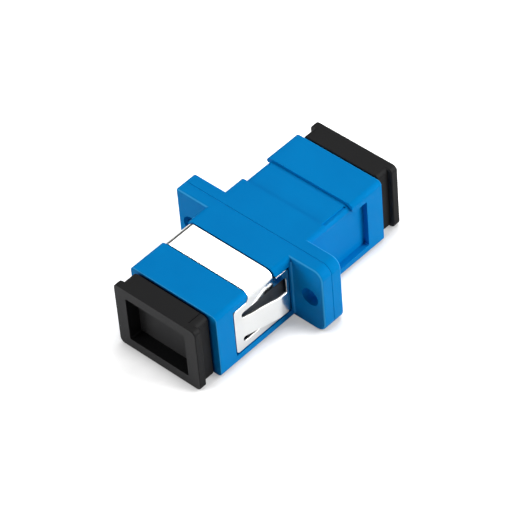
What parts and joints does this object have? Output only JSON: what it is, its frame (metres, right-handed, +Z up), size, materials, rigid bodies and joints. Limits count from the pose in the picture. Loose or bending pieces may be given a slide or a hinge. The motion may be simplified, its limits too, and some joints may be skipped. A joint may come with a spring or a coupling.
{
  "type": "sc fibre adapter",
  "caption": "Flanged coupler for two fibre connectors, with ear holes, a sprung panel clip over its front half, hooked latches round a split sleeve, and pull-off dust caps.",
  "frame": {"origin": "on the connector axis, midway through the flange, which is the centre of the whole adapter", "axes": "+Y along the connector axis, away from the clip end; +X across the ears; +Z up, away from the keyways"},
  "size_m": [0.022, 0.0336, 0.0094],
  "materials": {
    "blue_housing": "satin",
    "white_insert": "satin",
    "white_ceramic": "polished",
    "spring_steel": "bright",
    "black_cap": "satin"
  },
  "bodies": {
    "housing": {"housing_front": "blue_housing", "housing_rear": "blue_housing", "latch_insert_front": "white_insert", "latch_insert_rear": "white_insert", "alignment_sleeve": "white_ceramic", "panel_clip": "spring_steel"},
    "front_cap": {"dust_cap_front": "black_cap"},
    "rear_cap": {"dust_cap_rear": "black_cap"}
  },
  "joints": [
    {"name": "front_cap_pull", "type": "slide", "parent": "housing", "child": "front_cap", "axis": [0, -1, 0], "range_m": [0, 0.014]},
    {"name": "rear_cap_pull", "type": "slide", "parent": "housing", "child": "rear_cap", "axis": [0, 1, 0], "range_m": [0, 0.014]}
  ]
}
